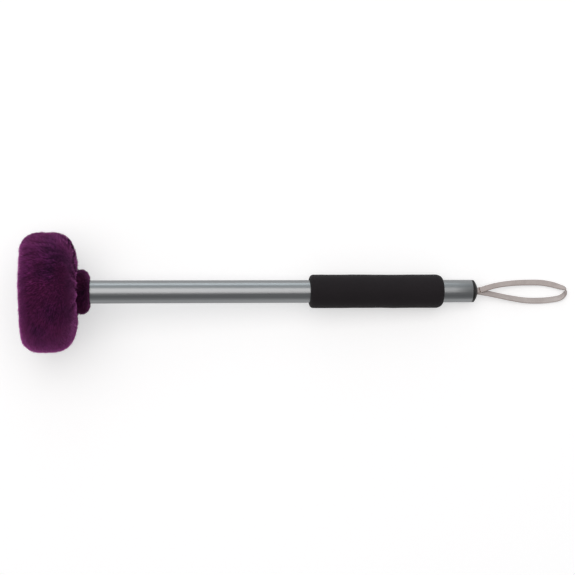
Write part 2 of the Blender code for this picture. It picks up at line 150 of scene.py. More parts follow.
TUFT_PULL = (0.10, 0.30)  # of a strand's middle and end to its tuft's tip
ROOT_SINK = 0.0003
STRAND_WIDE = (0.00021, 0.15)  # half width and its spread
STRAND_KNEE = (0.55, 0.8)  # its middle's share of the height and of the width
STRAND_FLOOR = (0.00005, 0.02, 0.003)  # least height, and its rise from this far below the floor
ROUND_SHADE = 0.45  # how much a strand's three sides turn its normals from the skin's
DULL_STROKES = (0.8, 1.2)  # how likely dark strokes are duller, and from what contrast

FLEECES = [
    # name, colour of the roots, colour of the tips, sheen
    # The dark roots and backing are painted shade deep in the pile.
    ("purple_fleece_backing", (0.012, 0.002, 0.013), (0.08, 0.011, 0.075), 0.6),
    ("purple_fleece_pile", (0.010, 0.0016, 0.011), (0.190, 0.027, 0.160), 1.0),
    # The collar's two are darker copies of the head's fleece: painted shade.
    ("collar_fleece_backing", (0.010, 0.002, 0.010), (0.050, 0.007, 0.044), 0.10),
    ("collar_fleece_pile", (0.007, 0.0011, 0.007), (0.080, 0.011, 0.060), 0.36),
    # A copy of the pile with less sheen: painted shade behind the head and on its rim at +Y.
    ("painted_shade_fleece_pile", (0.010, 0.0016, 0.011), (0.185, 0.026, 0.150), 0.48),
    # Near black and with little sheen: painted shade in deep gathers and along the fold.
    ("painted_crease_shade_pile", (0.005, 0.0008, 0.005), (0.045, 0.006, 0.036), 0.06),
]

# The dark line of a fold behind the rim, painted shade where the camera sees it: places in its
# picture, in pixels
FOLD = [(68.6, 237.5), (70.9, 241.0), (72.7, 244.0), (74.0, 247.0), (74.8, 250.0), (74.7, 253.0),
        (73.8, 256.5), (73.4, 259.0), (74.0, 262.0), (74.9, 265.0), (75.8, 268.0), (76.4, 271.0)]
FOLD_WIDE = 0.75

# Collar
COLLAR_R = 0.0217
COLLAR_PILE_DEEP = 0.0021
SOFT_COLLAR = (0.0525, 0.0629)
COLLAR_LIP = (0.0648, 0.0120)  # its edge is turned in and laid round the tube
COLLAR_FRONT_ROUND = 0.0022
COLLAR_REAR_ROUND = (0.0050, 0.0075)
COLLAR_SPACING = 0.0006
COLLAR_SEGMENTS = 200
COLLAR_LUMPS = (0.0024, 0.00032, 36)
COLLAR_LUMPS_OVER = 0.003  # they rise over this, from the neck out
COLLAR_TONE = (0.0019, 2.2, 17)
CORD_R = 0.0013
CORD_ALONG = 0.0575
CORD_TURNS = 22
CORD_SEGMENTS = (240, 16)
CORD_WAIST = 0.80  # share of its radius between the plies

# Core and padding
CORE_R = 0.030
CORE_START = 0.012
CORE_END = 0.040
FELT_R = 0.038
PAD_SEGMENTS = 120
PAD_SPACING = 0.0016
PAD_LUMPS = [(0.006, 1.0), (0.0022, 0.4)]  # cell, and share of the roughness
WAD_HOLE_R = 0.0012

# Foam grip
GRIP_R = 0.0164
GRIP_START = 0.2760
GRIP_END = 0.4078
GRIP_FRONT_ROUND = 0.0034
GRIP_REAR_ROUND = 0.0070
GRIP_LIP = 0.0006
GRIP_INNER_ROUND = 0.0020
GRIP_SEGMENTS = 128
GRIP_SPACING = 0.0011
BORE_SPACING = 0.008
GRIP_PRESS_SOFT = 0.0002
GRIP_LUMPS = [(0.019, 0.00016, 11), (0.006, 0.00006, 12)]

# End cap
CAP_START = TUBE_END + GAP
CAP_RIM = 0.0019
CAP_R = 0.0110
CAP_DOME_R = 0.0170
CAP_DOME_EDGE_R = 0.0106
CAP_APEX = 0.4433
CAP_HOLE_R = 0.0045
CAP_SHANK_R = TUBE_BORE_R - GAP
CAP_SHANK_START = 0.4210
CAP_EDGE_R = 0.0003
CAP_HOLE_EDGE_R = 0.0005
CAP_SEGMENTS = 112
CHAMBER_R = 0.0075
CHAMBER_END = 0.4355

# Strap
STRAP_WIDE = 0.0058
STRAP_THICK = 0.0012
STRAP_EDGE_R = 0.00035
STRAP_CROWN = 0.00006
STRAP_LIFT = 0.0001  # its least height over the floor
STRAP_STEPS = 8  # from one station to the next
LEG_SHIFT = 0.0005  # at the cap each leg lies this far to its own side,
LEG_LIFT = 0.00065  # this far above or below the middle,
LEG_ROLL = 20  # and rolled by these degrees
STUB_STATIONS = (0.4290, 0.4340, 0.4385, 0.4425)
STITCHES = 5  # on each leg
STITCH_ROW = -0.0015  # from the pivot to the row
STITCH_PITCH = 0.00105
STITCH_LONG = 0.0011
STITCH_SINK = 0.00005
THREAD_R = 0.00040
STITCH_ARCH = (0.6, 0.6)  # its height in radii, and the share of it that is sunk
STRAP_ROUTE = [
    # millimetres past the pivot, towards +Y and up, and roll in degrees
    (0.2, 1.2, 11.4, 22), (3.0, 2.1, 11.1, 26), (7.0, 3.4, 10.5, 30), (17.0, 5.8, 8.5, 34),
    (31.7, 7.7, 5.8, 30), (46.4, 8.3, 3.8, 22), (61.0, 8.1, 2.5, 18), (71.9, 6.3, 2.3, 20),
    (79.6, 4.0, 2.7, 36), (84.2, 2.6, 3.1, 56), (85.5, 0.8, 3.3, 74), (85.3, -1.2, 3.3, 104),
    (83.8, -4.0, 2.9, 126), (79.6, -7.1, 2.1, 150), (71.9, -8.7, 1.6, 166), (61.0, -9.7, 1.6, 168),
    (46.4, -9.5, 2.6, 160), (31.7, -7.4, 4.6, 152), (17.0, -4.5, 7.4, 148), (7.0, -2.4, 9.1, 152),
    (3.0, -1.7, 9.7, 156), (0.2, -1.1, 10.1, 160),
]

# Camera, straight above the mallet
PICTURE = 575
CAMERA_AT = (0.03457, 0.00392, 1.200)
CAMERA_FOCAL = 1200.4  # in pixels of the picture
CAMERA_ROLL = radians(-0.12)

# Studio walls, from the dark side, -Y, to the window side, +Y: share of the way, then colour
WALLS = [
    (0.0, 0.62, 0.62, 0.63), (0.02, 0.54, 0.54, 0.55), (0.06, 0.34, 0.34, 0.35),
    (0.32, 0.32, 0.32, 0.33), (0.5, 0.55, 0.55, 0.55), (0.80, 0.76, 0.79, 0.81),
    (0.96, 1.00, 1.05, 1.08), (1.0, 1.20, 1.26, 1.30),
]
WALL_MIDDLE = 0.05  # they stand round this share of the way to +X
WALL_FADE = (0.25, 0.65)  # and give way over this to the end walls
END_WALLS = [(0.0, 0.52, 0.52, 0.53), (1.0, 0.28, 0.28, 0.28)]

# Floor and lamps
FLOOR_HALF = 40
FLOOR_LIFT = 0.42  # glow seen by the camera and in reflections
LAMPS = [
    # name, place, target, size, brightness and colour
    ("overhead", (-0.15, 0.35, 1.65), (-0.15, 0, 0), (1.90, 1.45), 1.70, (1.0, 0.96, 0.945)),
    ("window", (0.0, 1.9, 0.23), (0, 0, 0.05), (1.1, 0.46), 2.0, (0.86, 0.965, 1.0)),
]


def shaft_axis():
    """The mallet's own frame as a matrix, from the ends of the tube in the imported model."""
    points = np.array([vertex.co[:] for vertex in frame["nodes"]["shaft_tube"].data.vertices])
    middle = points.mean(axis=0)
    direction = np.linalg.svd(points - middle, full_matrices=False)[2][0]
    direction = direction * np.sign(direction[0])
    reach = (points - middle) @ direction
    first, last = (points[np.abs(reach - end) < 1e-4].mean(axis=0)
                   for end in (reach.min(), reach.max()))
    direction = Vector(last - first).normalized()
    left = Vector((0, 1, 0))
    matrix = Matrix((direction, left, direction.cross(left))).transposed().to_4x4()
    matrix.translation = Vector(first) - direction * TUBE_START
    return matrix


AXIS = shaft_axis()
PIVOT = Vector(frame["joints"][0]["pos_m"])


def to_world(points):
    matrix = np.array(AXIS)
    return points @ matrix[:3, :3].T + matrix[:3, 3]


def to_mallet(points):
    matrix = np.array(AXIS)
    return (points - matrix[:3, 3]) @ matrix[:3, :3]


def link(name, data):
    """A new object in the scene."""
    made = bpy.data.objects.new(name, data)
    bpy.context.scene.collection.objects.link(made)
    return made


def make_camera():
    data = bpy.data.cameras.new("camera")
    data.sensor_width = 36.0
    data.lens = CAMERA_FOCAL / PICTURE * data.sensor_width
    data.clip_start = 0.01
    camera = link("camera", data)
    camera.location = CAMERA_AT
    camera.rotation_euler = (0, 0, CAMERA_ROLL)
    bpy.context.scene.camera = camera


# Materials

class Tree:
    """The nodes of a material or world. An input is given a value, or another node's output."""

    def __init__(self, owner, shader="Principled BSDF"):
        self.owner = owner
        owner.use_nodes = True
        self.nodes = owner.node_tree.nodes
        self.links = owner.node_tree.links
        self.shader = self.nodes[shader]

    def add(self, kind, inputs=None, output=0, **settings):
        node = self.nodes.new("ShaderNode" + kind)
        for name, value in settings.items():
            setattr(node, name, value)
        self.give(node, inputs or {})
        return node.outputs[output]

    def give(self, node, inputs):
        for name, value in inputs.items():
            if isinstance(value, bpy.types.NodeSocket):
                self.links.new(value, node.inputs[name])
            else:
                node.inputs[name].default_value = value

    def math(self, operation, first, second=0.0):
        return self.add("Math", {0: first, 1: second}, operation=operation)

    def place(self, scale):
        """Coordinates on the piece in metres, each axis multiplied by its scale."""
        coordinates = self.add("TexCoord", output="Object")
        return self.add("Mapping", {"Vector": coordinates, "Scale": scale})

    def noise(self, scale, detail=3.0, roughness=0.5, stretch=(1, 1, 1)):
        return self.add("TexNoise", {"Vector": self.place(stretch), "Scale": scale,
                                     "Detail": detail, "Roughness": roughness})

    def pits(self, scale, stretch=(1, 1, 1)):
        inputs = {"Vector": self.place(stretch), "Scale": scale}
        return self.add("TexVoronoi", inputs, output="Distance")

    def stored(self, name):
        return self.add("Attribute", output="Fac", attribute_name=name)

    def spread(self, value, low, high, start=0.0, end=1.0):
        return self.add("MapRange", {"Value": value, "From Min": low, "From Max": high,
                                     "To Min": start, "To Max": end})

    def colours(self, value, *stops):
        """A colour ramp of (position, red, green, blue) stops."""
        ramp = self.add("ValToRGB", {"Fac": value})
        elements = ramp.node.color_ramp.elements
        while len(elements) < len(stops):
            elements.new(0.5)
        for element, (position, *colour) in zip(elements, stops):
            element.position = position
            element.color = (*colour, 1.0)
        return ramp

    def blended(self, share, first, second):
        """A share from 0 to 1 of the second colour over the first."""
        return self.add("Mix", {0: share, 6: first, 7: second}, output=2, data_type="RGBA")

    def bump(self, height, distance, strength):
        return self.add("Bump", {"Height": height, "Distance": distance, "Strength": strength})

    def grained(self, colour, rough, bump, **inputs):
        """Feeds the shader a colour, roughness as for spread, a bump as for bump, and the rest."""
        return self.done(Base_Color=colour, Roughness=self.spread(*rough), Normal=self.bump(*bump),
                         **inputs)

    def done(self, **inputs):
        """Feeds the shader. An underscore in a name stands for a space."""
        self.give(self.shader, {name.replace("_", " "): value for name, value in inputs.items()})
        return self.owner


def new_material(name):
    return Tree(bpy.data.materials.new(name))


def aluminium_material():
    tree = new_material("satin_aluminium_drawn")
    lines = tree.noise(1.0, 4.0, 0.6, (6, 900, 900))
    cloud = tree.noise(28.0)
    colour = tree.colours(lines, (0.30, 0.236, 0.245, 0.251), (0.70, 0.268, 0.275, 0.279))
    clouded = tree.spread(cloud, 0.3, 0.7, 0.0, 0.12)
    colour = tree.blended(clouded, colour, (0.22, 0.232, 0.240, 1))
    return tree.grained(colour, (lines, 0.25, 0.75, 0.27, 0.35), (lines, 0.00001, 0.5),
                        Metallic=1.0, Specular_Tint=(0.75, 0.75, 0.76, 1))


def foam_material():
    tree = new_material("black_foam_cells")
    cells = tree.pits(1700.0)
    skin = tree.noise(420.0, 4.0, 0.6)
    cloud = tree.noise(22.0, 2.0)
    colour = tree.colours(skin, (0.3, 0.0105, 0.0084, 0.0098), (0.7, 0.0155, 0.0126, 0.0145))
    clouded = tree.spread(cloud, 0.35, 0.65, 0.0, 0.3)
    colour = tree.blended(clouded, colour, (0.0175, 0.0142, 0.0162, 1))
    height = tree.math("ADD", cells, skin)
    return tree.grained(colour, (skin, 0.3, 0.7, 0.72, 0.9), (height, 0.00012, 0.6),
                        Specular_IOR_Level=0.16, Sheen_Weight=0.03, Sheen_Roughness=0.5)


def rubber_material():
    tree = new_material("black_rubber_moulded")
    grain = tree.noise(1500.0)
    cloud = tree.noise(180.0)
    colour = tree.colours(cloud, (0.3, 0.0070, 0.0062, 0.0068), (0.7, 0.0115, 0.0105, 0.0110))
    return tree.grained(colour, (cloud, 0.3, 0.7, 0.42, 0.58), (grain, 0.00006, 0.5),
                        Specular_IOR_Level=0.30)


def fleece_material(name, root, tip, sheen):
    """Fleece, dark at the backing and lighter at the tips: painted shade deep in the pile."""
    tree = new_material(name)
    height = tree.stored("tip")
    tone = tree.stored("tone")
    cloud = tree.noise(45.0)
    middle = [0.6 * low + 0.4 * high for low, high in zip(root, tip)]
    colour = tree.colours(height, (0.0, *root), (0.55, *middle), (1.0, *tip))
    # The tone's dark end, for the nap's strokes and for painted shade on the head.
    shade = tree.blended(0.80, colour, (0.005, 0.001, 0.007, 1))
    colour = tree.blended(tree.spread(tone, -0.75, 0.75, 0.0, 1.0), shade, colour)
    warm = tree.blended(0.5, colour, (tip[0] * 1.3, tip[1], tip[2] * 0.75, 1))
    colour = tree.blended(tree.spread(cloud, 0.35, 0.65, 0.0, 0.5), colour, warm)
    return tree.done(Base_Color=colour, Roughness=0.8, Specular_IOR_Level=0.05,
                     Sheen_Weight=sheen, Sheen_Roughness=0.50, Sheen_Tint=(1.0, 0.26, 0.82, 1))


def leather_material():
    tree = new_material("pale_leather_strap")
    edge = tree.stored("edge")
    side = tree.stored("side")
    pores = tree.pits(1400.0)
    grain = tree.noise(600.0, 4.0, 0.6)
    cloud = tree.noise(60.0)
    outer = tree.colours(cloud, (0.3, 0.40, 0.345, 0.325), (0.7, 0.50, 0.44, 0.42))
    inner = tree.colours(cloud, (0.3, 0.46, 0.41, 0.395), (0.7, 0.56, 0.51, 0.49))
    colour = tree.blended(side, outer, inner)
    grained = tree.spread(grain, 0.35, 0.7, 0.25, 0.0)
    colour = tree.blended(grained, colour, (0.30, 0.25, 0.23, 1))
    worn = tree.spread(edge, 0.0, 1.0, 0.0, 0.55)
    colour = tree.blended(worn, colour, (0.30, 0.235, 0.215, 1))
    height = tree.math("ADD", pores, grain)
    return tree.grained(colour, (grain, 0.3, 0.7, 0.48, 0.66), (height, 0.00008, 0.6),
                        Specular_IOR_Level=0.4)


def metal_material(name, dark, light, rough):
    tree = new_material(name)
    lines = tree.noise(1.0, 4.0, 0.6, (300, 300, 300))
    cloud = tree.noise(90.0)
    colour = tree.colours(cloud, (0.3, *dark), (0.7, *light))
    return tree.grained(colour, (lines, 0.3, 0.7, rough, rough + 0.15), (lines, 0.00002, 0.4),
                        Metallic=1.0)


def wood_material():
    tree = new_material("beech_wood_grain")
    fibre = tree.noise(1.0, 5.0, 0.65, (12, 160, 160))
    fleck = tree.pits(1.0, (90, 700, 700))
    colour = tree.colours(fibre, (0.30, 0.40, 0.235, 0.125), (0.55, 0.56, 0.36, 0.21),
                          (0.75, 0.64, 0.44, 0.28))
    flecked = tree.spread(fleck, 0.0, 0.35, 0.35, 0.0)
    colour = tree.blended(flecked, colour, (0.27, 0.14, 0.07, 1))
    return tree.grained(colour, (fibre, 0.3, 0.7, 0.5, 0.65), (fibre, 0.00010, 0.5))


def fibrous_material(name, dark, light, scale, sheen=0.25):
    """Felt, batting and waxed cord: matted fibres with soft light and dark."""
    tree = new_material(name)
    fuzz = tree.noise(scale, 6.0, 0.7)
    cloud = tree.noise(scale / 12)
    colour = tree.colours(fuzz, (0.3, *dark), (0.7, *light))
    shade = (*(value * 0.75 for value in dark), 1)
    colour = tree.blended(tree.spread(cloud, 0.35, 0.65, 0.35, 0.0), colour, shade)
    return tree.done(Base_Color=colour, Roughness=0.95, Specular_IOR_Level=0.1,
                     Sheen_Weight=sheen, Normal=tree.bump(fuzz, 0.0004, 0.8))


# Meshes

def unit(vectors):
    return vectors / np.maximum(np.linalg.norm(vectors, axis=-1, keepdims=True), 1e-12)


def ramp(value, start, over):
    """0 up to the start, then rising to 1 over the given length."""
    return np.clip((value - start) / over, 0, 1)


def turn_from(angle, middle):
    """How far round each angle lies from a middle one in degrees: from -pi to pi."""
    return (angle - radians(middle) + pi) % (2 * pi) - pi


def add_piece(name, mesh, material, body="mallet", smooth=True, matrix=None):
    if smooth:
        mesh.shade_smooth()
        mesh.set_sharp_from_angle(angle=SHARP_FROM)
    mesh.materials.append(material)
    piece = link(name, mesh)
    if matrix is not None:
        piece.matrix_world = matrix
    if body:
        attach(piece, body)
    return piece


def arc(centre, radii, start, end, steps):
    """Points on an ellipse from angle start to angle end, in degrees, along and out."""
    angles = np.radians(np.linspace(start, end, steps + 1))
    return [(centre[0] + radii[0] * cos(angle), centre[1] + radii[1] * sin(angle))
            for angle in angles]


def evenly(points, spacing):
    """A polyline's points moved to lie evenly along it, about spacing apart."""
    points = np.array(points, float)
    travelled = np.concatenate([[0], np.cumsum(np.linalg.norm(np.diff(points, axis=0), axis=1))])
    count = max(2, int(round(travelled[-1] / spacing)))
    at = np.linspace(0, travelled[-1], count + 1)
    return np.stack([np.interp(at, travelled, column) for column in points.T], axis=1)


def ring_grid(profile, segments):
    """Places on a turned surface as grids: along, out and angle, a row for each profile point."""
    along, out = (np.tile(column[:, None], segments) for column in np.array(profile, float).T)
    angle = np.linspace(0, 2 * pi, segments, endpoint=False)
    return along, out, np.tile(angle, (len(along), 1))


def turned_points(along, out, angle):
    return np.stack([along, out * np.cos(angle), out * np.sin(angle)], axis=-1)


def grid_mesh(name, points, closed_rows=False, values=None):
    """A closed surface from a grid of points whose columns run round.

    A first or last row that shrinks to the axis becomes a single point. values holds named arrays,
    one number for each point.
    """
    rows, columns = points.shape[:2]
    index = np.arange(rows * columns).reshape(rows, columns)
    for row in (0, rows - 1):
        if np.ptp(points[row], axis=0).max() < 1e-7:
            index[row] = index[row, 0]
    after = np.roll(index, -1, axis=1)
    corners = [index, after, np.roll(after, -1, axis=0), np.roll(index, -1, axis=0)]
    last = rows if closed_rows else rows - 1
    used, corners = np.unique(np.stack(corners, axis=-1)[:last], return_inverse=True)
    faces = [list(dict.fromkeys(face)) for face in corners.reshape(-1, 4).tolist()]
    mesh = bpy.data.meshes.new(name)
    mesh.from_pydata(points.reshape(-1, 3)[used].tolist(), [], faces)
    store(mesh, {key: value.reshape(-1)[used] for key, value in (values or {}).items()})
    mesh.update()
    return mesh


def store(mesh, values):
    """Gives a mesh named numbers, one for each point."""
    for key, value in values.items():
        attribute = mesh.attributes.new(key, "FLOAT", "POINT")
        attribute.data.foreach_set("value", value.astype(np.float32))


def add_turned(node, name, points, material, closed_rows=True, values=None):
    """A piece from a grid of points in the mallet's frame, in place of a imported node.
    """
    mesh = outward(grid_mesh(name, points, closed_rows, values))
    piece = add_piece(name, mesh, material, matrix=AXIS)
    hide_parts(node)


def outward(mesh):
    """Turns a closed mesh the right way out, if its volume says that it is inside out."""
    solid = bmesh.new()
    solid.from_mesh(mesh)
    if solid.calc_volume(signed=True) < 0:
        mesh.flip_normals()
    solid.free()
    return mesh


def noise(points, seed=0):
    """Smooth noise from -1 to 1 at each point, with one cell to each unit."""
    cell = np.floor(points).astype(np.int64)
    part = points - cell
    part = part * part * (3 - 2 * part)
    total = np.zeros(len(points))
    for corner in np.ndindex(2, 2, 2):
        at = cell + corner
        code = (at[:, 0] * 73856093) ^ (at[:, 1] * 19349663) ^ (at[:, 2] * 83492791) ^ (seed * 6971)
        code = ((code ^ (code >> 13)) * 15731 + 789221) & 0x7FFFFFFF
        code = ((code ^ (code >> 11)) * 27644437) & 0x7FFFFFFF
        value = ((code >> 9) & 0xFFFF) / 32767.5 - 1
        weight = np.prod(np.where(np.array(corner) == 1, part, 1 - part), axis=1)
        total += weight * value
    return total


def streaks(points, lay, cell, reach, seed):
    """Noise drawn out along the lay of the pile: the mean of plain noise over steps along it."""
    steps = np.linspace(-reach, reach, 9)
    return sum(noise((points + lay * step) / cell, seed) for step in steps) / sqrt(len(steps))


def lumpy(points, layers):
    """The sum of some layers of noise over a grid of points."""
    flat = points.reshape(-1, 3)
    total = sum(noise(flat / cell, seed) * high for cell, high, seed in layers)
    return total.reshape(points.shape[:2])


def press_flat(points, soft):
    """Lifts points that would be below the floor up to it, with a soft bend."""
    world = to_world(points.reshape(-1, 3))
    height = world[:, 2]
    pressed = soft * np.log1p(np.exp(np.clip(height / soft, -60, 60)))
    world[:, 2] = np.where(height > 4 * soft, height, pressed)
    return to_mallet(world).reshape(points.shape)


# Strap

def smooth_route(points, steps):
    """Catmull-Rom curve through the points, each a tuple of any length."""
    ends = [points[0]] + points + [points[-1]]
    curve = []
    for index in range(1, len(ends) - 2):
        a, b, c, d = (np.array(point, float) for point in ends[index - 1:index + 3])
        for step in range(steps):
            t = step / steps
            curve.append(0.5 * (2 * b + (c - a) * t + (2 * a - 5 * b + 4 * c - d) * t * t
                                + (3 * b - a - 3 * c + d) * t ** 3))
    curve.append(np.array(points[-1], float))
    return np.array(curve)


def strap_stations():
    """The band's middle line from inside the cap, round the loop and back, with its roll."""
    stations = []
    for along in STUB_STATIONS:
        point = AXIS @ Vector((along, LEG_SHIFT, LEG_LIFT))
        stations.append((*point, LEG_ROLL))
    for past, left, height, roll in STRAP_ROUTE:
        stations.append((PIVOT.x + past / 1000, left / 1000, height / 1000, roll))
    for along in reversed(STUB_STATIONS):
        point = AXIS @ Vector((along, -LEG_SHIFT, -LEG_LIFT))
        stations.append((*point, 180 - LEG_ROLL))
    return smooth_route(stations, STRAP_STEPS)


def band_frames(stations):
    """For each station: its point, the direction across the band and its face's direction."""
    points = stations[:, :3]
    tangent = unit(np.gradient(points, axis=0))
    aside = unit(np.cross((0, 0, 1), tangent))
    upward = np.cross(tangent, aside)
    roll = np.radians(stations[:, 3])[:, None]
    face = upward * np.cos(roll) + aside * np.sin(roll)
    return points, np.cross(tangent, face), face


def strap_section():
    """The band's section: place across, place through, how near the edge, and which side."""
    wide, thick = STRAP_WIDE / 2 - STRAP_EDGE_R, STRAP_THICK / 2 - STRAP_EDGE_R
    section = []
    for sign_wide, sign_thick, turn in ((1, 1, 0), (-1, 1, 90), (-1, -1, 180), (1, -1, 270)):
        side = 0.0 if sign_thick > 0 else 1.0
        for step in range(4):
            angle = radians(turn + 30 * step)
            section.append((sign_wide * wide + STRAP_EDGE_R * cos(angle),
                            sign_thick * thick + STRAP_EDGE_R * sin(angle), 1.0, side))
        if turn in (0, 180):
            for share in (0.93, 0.8, 0.4, 0.0, -0.4, -0.8, -0.93):
                crown = STRAP_CROWN * (1 - share ** 2)
                section.append((sign_wide * share * wide, sign_thick * (STRAP_THICK / 2 + crown),
                                0.45 if abs(share) > 0.9 else 0.0, side))
    return section


def make_strap(leather, thread):
    points, across, face = band_frames(strap_stations())
    section = strap_section()
    grid = np.stack([points + across * wide + face * thick for wide, thick, *_ in section], axis=1)
    grid[..., 2] = np.maximum(grid[..., 2], STRAP_LIFT)
    first, last = (grid[end].mean(axis=1, keepdims=True).repeat(len(section), axis=1)
                   for end in (slice(0, 1), slice(-1, None)))
    grid = np.concatenate([first, grid, last])
    values = {key: np.tile([row[column] for row in section], (len(grid), 1))
              for key, column in (("edge", 2), ("side", 3))}
    mesh = outward(grid_mesh("strap_band", grid, values=values))
    band = add_piece("strap_band", mesh, leather, body=None)
    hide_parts("wrist_loop", "strap_knot")
    stitches = make_stitches(thread, points, across, face)
    for piece in (band, stitches):
        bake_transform(piece)


def capsule(centre, along, upward, length, radius):
    """A short rounded rod as a grid of points, arched like a stitch pulled into leather."""
    across = np.cross(along, upward)
    turn = np.linspace(0, 2 * pi, 8, endpoint=False)[:, None]
    high, sunk = STITCH_ARCH
    rows = []
    for angle in np.linspace(0, pi, 11):
        arch = (sin(angle) - sunk) * radius * high
        middle = centre - along * cos(angle) * length / 2 + upward * arch
        size = radius * sqrt(max(0.0, sin(angle)))
        rows.append(middle + size * (across * np.cos(turn) + upward * np.sin(turn)))
    return np.array(rows)


def merged(name, parts):
    """One mesh of several others, which are removed."""
    vertices, faces = [], []
    for part in parts:
        start = len(vertices)
        vertices.extend(vertex.co[:] for vertex in part.vertices)
        faces.extend([start + corner for corner in face.vertices] for face in part.polygons)
        bpy.data.meshes.remove(part)
    mesh = bpy.data.meshes.new(name)
    mesh.from_pydata(vertices, [], faces)
    return mesh


def make_stitches(thread, points, across, face):
    """A row of thread that sews the strap's legs together beside the cap."""
    parts = []
    half = len(points) // 2
    for first, leg in ((0, points[:half]), (half, points[half:])):
        station = first + int(np.argmin(np.abs(leg[:, 0] - PIVOT.x - STITCH_ROW)))
        surface = points[station] + face[station] * (STRAP_THICK / 2 - STITCH_SINK)
        for index in range(STITCHES):
            centre = surface + across[station] * (index - (STITCHES - 1) / 2) * STITCH_PITCH
            stitch = capsule(centre, across[station], face[station], STITCH_LONG, THREAD_R)
            parts.append(outward(grid_mesh("stitch", stitch)))
    mesh = merged("strap_stitches", parts)
    return add_piece("strap_stitches", mesh, thread, body=None)


# Shaft, grip and cap

def make_shaft(metal):
    start, end, bevel = TUBE_START, TUBE_END, TUBE_BEVEL
    profile = (
        [(start, TUBE_BORE_R + bevel), (start, TUBE_R - bevel)]
        + arc((start + bevel, TUBE_R - bevel), (bevel, bevel), 180, 90, 3)[1:]
        + [(along, TUBE_R) for along in np.linspace(start, end, 24)[1:-1]]
        + arc((end - bevel, TUBE_R - bevel), (bevel, bevel), 90, 0, 3)
        + [(end, TUBE_BORE_R + bevel), (end - bevel, TUBE_BORE_R), (start + bevel, TUBE_BORE_R)]
    )
    points = turned_points(*ring_grid(profile, TUBE_SEGMENTS))
    add_turned("shaft_tube", "shaft_body", points, metal)


def make_grip(foam):
    rise = GRIP_R - BORE_R - GRIP_LIP
    base = GRIP_R - rise
    outline = (
        arc((GRIP_START + GRIP_INNER_ROUND, base), (GRIP_INNER_ROUND, GRIP_LIP), 270, 180, 6)
        + arc((GRIP_START + GRIP_FRONT_ROUND, base), (GRIP_FRONT_ROUND, rise), 180, 90, 12)[1:]
        + arc((GRIP_END - GRIP_REAR_ROUND, base), (GRIP_REAR_ROUND, rise), 90, 0, 16)
        + [(GRIP_END, BORE_R)]
    )
    bore = [(GRIP_END, BORE_R), (GRIP_START + GRIP_INNER_ROUND, BORE_R)]
    outline = np.concatenate([evenly(outline, GRIP_SPACING), evenly(bore, BORE_SPACING)[1:-1]])
    along, out, angle = ring_grid(outline, GRIP_SEGMENTS)
    swell = lumpy(turned_points(along, out, angle), GRIP_LUMPS)
    points = turned_points(along, out + swell * ramp(out, BORE_R, GRIP_R - BORE_R), angle)
    points = press_flat(points, GRIP_PRESS_SOFT)
    add_turned("foam_grip", "grip_sleeve", points, foam)


def make_cap(rubber):
    edge = degrees(asin(CAP_DOME_EDGE_R / CAP_DOME_R))
    hole = degrees(asin((CAP_HOLE_R + CAP_HOLE_EDGE_R) / CAP_DOME_R))
    dome = arc((CAP_APEX - CAP_DOME_R, 0), (CAP_DOME_R, CAP_DOME_R), edge, hole, 14)
    lip = (dome[-1][0] - CAP_HOLE_EDGE_R, CAP_HOLE_R + CAP_HOLE_EDGE_R)
    bevel = CAP_EDGE_R
    outline = (
        [(CAP_SHANK_START, CHAMBER_R), (CAP_SHANK_START, CAP_SHANK_R - bevel),
         (CAP_SHANK_START + bevel, CAP_SHANK_R), (CAP_START, CAP_SHANK_R),
         (CAP_START, CAP_R - bevel)]
        + arc((CAP_START + bevel, CAP_R - bevel), (bevel, bevel), 180, 90, 4)[1:]
        + [(CAP_START + CAP_RIM, CAP_R)]
        + dome
        + arc(lip, (CAP_HOLE_EDGE_R, CAP_HOLE_EDGE_R), 0, -90, 4)[1:]
        + [(CHAMBER_END, CAP_HOLE_R), (CHAMBER_END, CHAMBER_R)]
    )
    points = turned_points(*ring_grid(outline, CAP_SEGMENTS))
    add_turned("end_cap", "cap_moulding", points, rubber)


# Head

def rounded_outline(radius, front_round, rear_round, rear_along, inset):
    """From the middle of the face to the rear corner's end. The rounds are elliptic quarters."""
    face_steps, front_steps, rear_steps = OUTLINE_STEPS
    flat = radius - front_round[1]
    outs = np.linspace(0, flat, face_steps)
    face = [(inset + FRONT_BULGE * (out / flat) ** 2, out) for out in outs]
    front, rear = (tuple(size - inset for size in sizes) for sizes in (front_round, rear_round))
    return (
        face
        + arc((FRONT_BULGE + front_round[0], flat), front, 180, 90, front_steps)[1:]
        + arc((rear_along, radius - rear_round[1]), rear, 90, 0, rear_steps)
    )


def head_outline(inset):
    """The solid head's outline, drawn in by an inset."""
    return rounded_outline(HEAD_R, (FRONT_CORNER_R, FRONT_CORNER_R), (REAR_CORNER_R, REAR_CORNER_R),
                           REAR_CORNER_ALONG, inset)


def creased(along, out, angle):
    """How far the gathers behind the head push its skin in, at each point."""
    depth = np.zeros_like(out)
    narrow, widening, widens_from = CREASE_WIDE
    most, most_out, waves = CREASE_WANDER
    width = narrow + widening * np.maximum(out - widens_from, 0)
    for index, (middle, deep, reach) in enumerate(CREASES):
        wander = most * np.sin(out / waves + CREASE_PHASE * index) * (out / most_out)
        turn = turn_from(angle - wander, middle)
        across = out * np.sin(np.clip(turn, -pi / 2, pi / 2))
        fade = ramp(reach / 1000 - out, 0, CREASE_FADE) * ramp(out, *CREASE_NECK)
        groove = np.exp(-(across / width) ** 2)
        lips = np.exp(-((np.abs(across) - CREASE_LIPS[1] * width) / width) ** 2)
        depth += deep / 1000 * (groove - CREASE_LIPS[0] * lips) * fade
    return depth * ramp(along, SOFT_REAR_ALONG, CREASES_OVER)


def far_side(angle):
    """1 at -Y, falling to 0 on top and below."""
    return np.clip(-np.cos(angle), 0, 1)


